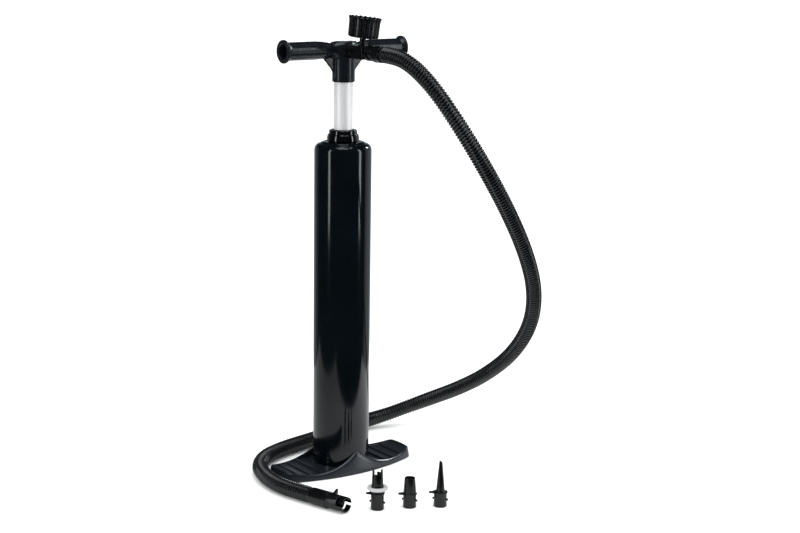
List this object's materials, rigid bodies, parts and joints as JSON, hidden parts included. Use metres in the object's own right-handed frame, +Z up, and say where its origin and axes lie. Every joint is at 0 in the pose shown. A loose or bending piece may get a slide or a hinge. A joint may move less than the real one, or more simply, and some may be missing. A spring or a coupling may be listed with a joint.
{
  "type": "hand air pump",
  "caption": "Upright double-action hand air pump on a foot plate, with T handle, inline pressure gauge, ribbed hose and loose nozzles.",
  "frame": {"origin": "on the floor, on the barrel's axis, at the middle of the foot base's underside", "axes": "+Z up along the barrel, +X along the foot base and the handle, -Y towards the outlet"},
  "size_m": [0.4556, 0.4161, 0.7304],
  "materials": {
    "base_plastic": "satin",
    "barrel_plastic": "gloss",
    "collar_plastic": "gloss",
    "handle_plastic": "satin",
    "black_plastic": "satin",
    "hose_plastic": "satin",
    "rod_aluminium": "satin",
    "seal_rubber": "matte",
    "gasket_rubber": "matte",
    "screw_steel": "satin",
    "brass": "satin",
    "piston_plastic": "matte",
    "dial_white": "matte",
    "pointer_red": "satin",
    "lens_clear": "clear"
  },
  "bodies": {
    "stand": {"foot_base": "base_plastic", "base_screws": "screw_steel", "bottom_cap": "piston_plastic", "bottom_cap_o_ring": "seal_rubber", "intake_flap_pin": "piston_plastic", "lower_bumper": "seal_rubber", "barrel": "barrel_plastic", "rod_guide_bush": "piston_plastic", "upper_valve_retainer": "piston_plastic", "upper_bumper": "seal_rubber", "gland_nut": "collar_plastic", "rod_seal": "seal_rubber"},
    "intake_flap_body": {"intake_flap": "seal_rubber"},
    "upper_flap_body": {"upper_intake_ring": "seal_rubber"},
    "turning_group": {"rod_wiper": "seal_rubber", "hose_end_fitting": "black_plastic"},
    "rod_group": {"rod": "rod_aluminium", "piston_lower_plate": "piston_plastic", "piston_upper_plate": "piston_plastic", "piston_seal": "seal_rubber", "piston_core": "piston_plastic", "piston_valve_cage": "piston_plastic", "piston_check_band": "seal_rubber", "piston_pin": "screw_steel", "piston_screws": "screw_steel", "handle": "handle_plastic", "handle_pin": "screw_steel", "rod_top_o_ring": "seal_rubber", "hub_cap": "black_plastic", "tee_body": "black_plastic", "tee_o_ring": "seal_rubber", "gauge_case": "black_plastic", "gauge_cover": "black_plastic", "gauge_capsule": "brass", "gauge_dial": "dial_white", "gauge_lens": "lens_clear", "gauge_bezel": "black_plastic", "gauge_stem_seal": "seal_rubber", "upper_hose_cuff": "black_plastic", "hose": "hose_plastic"},
    "check_disc_body": {"piston_check_disc": "seal_rubber"},
    "pointer_body": {"gauge_pointer": "pointer_red"},
    "valve_adapter_body": {"valve_adapter": "black_plastic", "valve_adapter_gasket": "gasket_rubber"},
    "tube_nozzle_body": {"tube_nozzle": "black_plastic"},
    "cone_nozzle_body": {"cone_nozzle": "black_plastic"}
  },
  "joints": [
    {"name": "handle_turn", "type": "hinge", "parent": "stand", "child": "turning_group", "pos_m": [0, 0, 0], "axis": [0, 0, 1], "range_deg": [-45, 0]},
    {"name": "rod_slide", "type": "slide", "parent": "turning_group", "child": "rod_group", "axis": [0, 0, 1], "range_m": [-0.071, 0.355], "deforming": ["hose"]},
    {"name": "intake_flap_lift", "type": "slide", "parent": "stand", "child": "intake_flap_body", "axis": [0, 0, 1], "range_m": [0, 0.0025]},
    {"name": "upper_flap_drop", "type": "slide", "parent": "stand", "child": "upper_flap_body", "axis": [0, 0, -1], "range_m": [0, 0.002], "stiffness_N_per_m": 200},
    {"name": "check_disc_lift", "type": "slide", "parent": "rod_group", "child": "check_disc_body", "axis": [0, 0, 1], "range_m": [0, 0.0025]},
    {"name": "pointer_sweep", "type": "hinge", "parent": "rod_group", "child": "pointer_body", "pos_m": [0, -0.0495, 0.6842], "axis": [0.0862, -0.0592, 0.9945], "range_deg": [-270, 0], "stiffness_Nm_per_rad": 0.0002},
    {"name": "valve_adapter_lift", "type": "slide", "parent": "stand", "child": "valve_adapter_body", "axis": [0, 0, 1], "range_m": [0, 0.15]},
    {"name": "tube_nozzle_lift", "type": "slide", "parent": "stand", "child": "tube_nozzle_body", "axis": [0, 0, 1], "range_m": [0, 0.15]},
    {"name": "cone_nozzle_lift", "type": "slide", "parent": "stand", "child": "cone_nozzle_body", "axis": [0, 0, 1], "range_m": [0, 0.15]}
  ]
}
